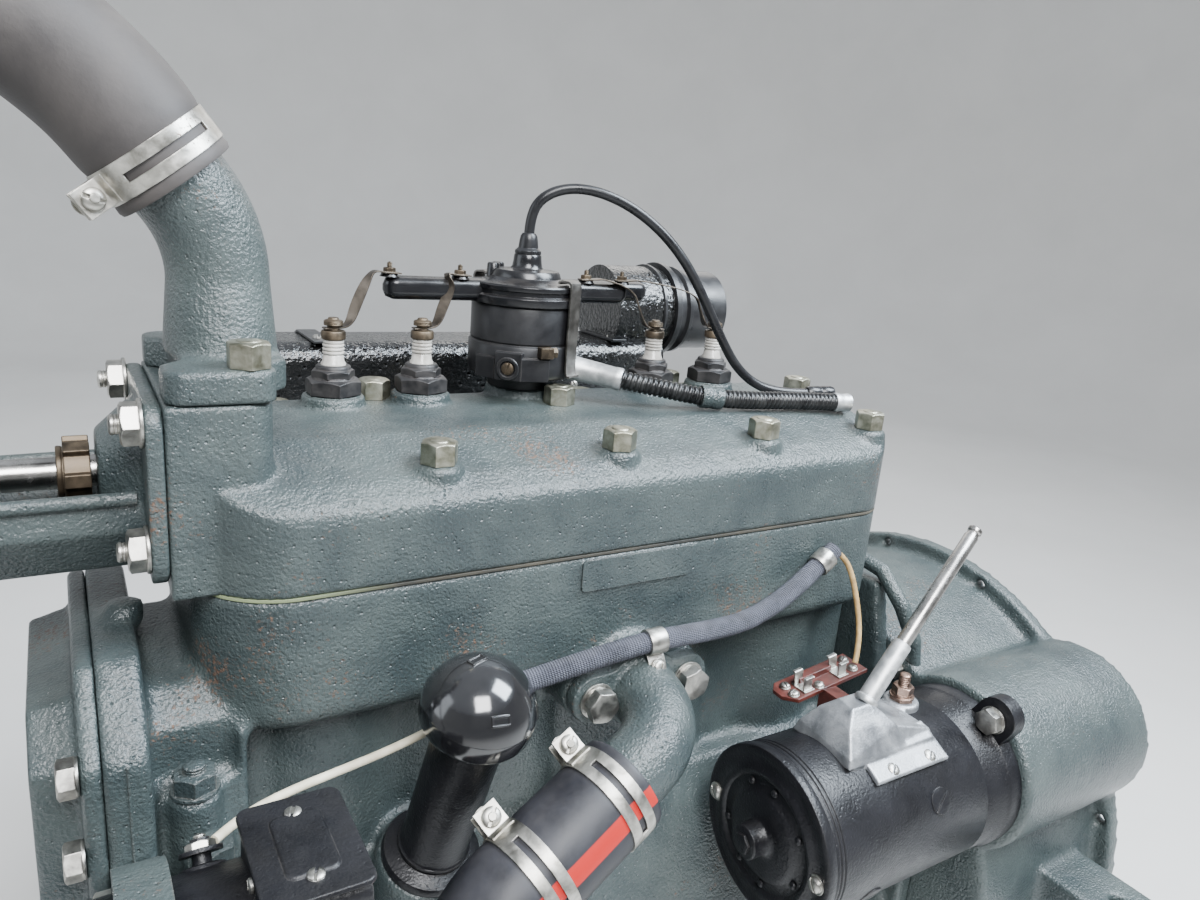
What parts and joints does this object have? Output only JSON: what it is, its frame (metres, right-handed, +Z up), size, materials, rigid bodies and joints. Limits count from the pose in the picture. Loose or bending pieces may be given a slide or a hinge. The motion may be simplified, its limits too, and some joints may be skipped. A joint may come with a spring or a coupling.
{
  "type": "four-cylinder side-valve car engine",
  "caption": "Side-valve inline car engine with its head, distributor, pump and fan, generator, starter, hoses, oil filler, manifolds and open flywheel housing.",
  "frame": {"origin": "centre of the gearbox bolt circle, where the crankshaft's axis meets the rear face of the flywheel housing", "axes": "+X runs along the crankshaft towards the gearbox, +Y to the engine's right-hand side (manifolds), +Z up the cylinders"},
  "size_m": [0.837, 0.536, 0.8338],
  "materials": {
    "engine_paint": "semi-gloss dark blue-green paint on rough castings",
    "gasket_metal": "thin dull edge",
    "bright_plate": "bright zinc plate",
    "zinc_nuts": "yellowed zinc plate",
    "rusty_hex": "dark hexagons with red rust",
    "porcelain": "white glaze",
    "bakelite_body": "black satin",
    "bakelite_cap": "black gloss",
    "clip_steel": "dull spring steel",
    "strap_bronze": "tarnished bronze",
    "hose_rubber": "grey-brown matt rubber",
    "lower_rubber": "black rubber with a red stripe",
    "belt_rubber": "matt black",
    "clamp_zinc": "dulled zinc plate",
    "dirty_bronze": "oily, dull",
    "bare_steel": "turned steel",
    "black_enamel": "gloss black enamel",
    "black_iron": "dry black iron",
    "crinkle_black": "crinkled black paint",
    "duct_black": "ribbed black duct",
    "cast_alloy": "cast grey alloy",
    "alloy_sleeve": "bright turned sleeve",
    "braid": "grey woven braid",
    "cream_wire": "cream cotton-covered wire",
    "tan_wire": "yellow-brown cotton-covered wire",
    "spiral_steel": "blackened spiral steel",
    "lead_rubber": "glossy black rubber",
    "copper": "dull copper",
    "red_fibre": "red-brown fibre plate"
  },
  "bodies": {
    "engine": {"cylinder_block": "engine_paint", "cylinder_head": "engine_paint", "water_outlet": "engine_paint", "water_pump_body": "engine_paint", "timing_cover": "engine_paint", "oil_pan": "engine_paint", "flywheel_housing": "engine_paint", "water_inlet_elbow": "engine_paint", "valve_cover": "engine_paint", "generator_bracket": "engine_paint", "painted_nuts": "engine_paint", "drain_pipe": "engine_paint", "head_gasket": "gasket_metal", "plated_bolts": "bright_plate", "loom_clips": "bright_plate", "head_nuts": "zinc_nuts", "plug_adapters": "rusty_hex", "spark_plugs": "porcelain", "distributor_body": "bakelite_body", "distributor_cap": "bakelite_cap", "distributor_clips": "clip_steel", "plug_straps": "strap_bronze", "upper_hose": "hose_rubber", "lower_hose": "lower_rubber", "fan_belt": "belt_rubber", "upper_hose_clamp": "clamp_zinc", "lower_hose_clamps": "clamp_zinc", "pump_packing_nut": "dirty_bronze", "starter_push_rod": "bare_steel", "generator": "black_enamel", "generator_cutout": "black_enamel", "front_yoke": "black_enamel", "starter_motor": "black_enamel", "oil_filler_tube": "black_enamel", "exhaust_manifold": "black_iron", "intake_manifold": "black_iron", "carburettor": "black_iron", "heater_casing": "crinkle_black", "heater_duct": "duct_black", "starter_switch": "cast_alloy", "conduit_ferrules": "alloy_sleeve", "loom": "braid", "generator_wire": "cream_wire", "fuse_wire": "tan_wire", "conduit": "spiral_steel", "ignition_lead": "lead_rubber", "lead_boots": "lead_rubber", "starter_terminal": "copper", "fuse_block": "red_fibre"},
    "crank": {"crankshaft": "bare_steel", "crank_pulley": "black_enamel", "starting_nut": "bare_steel", "flywheel": "black_iron", "clutch_cover": "black_enamel"},
    "fan_assembly": {"pump_shaft": "bare_steel", "fan_pulley": "black_enamel", "fan": "black_enamel"},
    "generator_rotor": {"generator_pulley": "black_enamel"},
    "filler_cap": {"oil_filler_cap": "black_enamel"}
  },
  "joints": [
    {"name": "crank_spin", "type": "hinge", "parent": "engine", "child": "crank", "pos_m": [-0.4, 0, 0], "axis": [1, 0, 0], "continuous": true},
    {"name": "fan_spin", "type": "hinge", "parent": "engine", "child": "fan_assembly", "pos_m": [-0.785, 0, 0.347], "axis": [1, 0, 0], "continuous": true},
    {"name": "generator_spin", "type": "hinge", "parent": "engine", "child": "generator_rotor", "pos_m": [-0.785, -0.176, 0.165], "axis": [1, 0, 0], "continuous": true},
    {"name": "filler_cap_lift", "type": "slide", "parent": "engine", "child": "filler_cap", "axis": [0.0722, -0.313, 0.947], "range_m": [0, 0.045]}
  ],
  "couplings": [
    {"joint": "fan_spin", "follows": "crank_spin", "ratio": 1.6512},
    {"joint": "generator_spin", "follows": "crank_spin", "ratio": 1.7317}
  ]
}
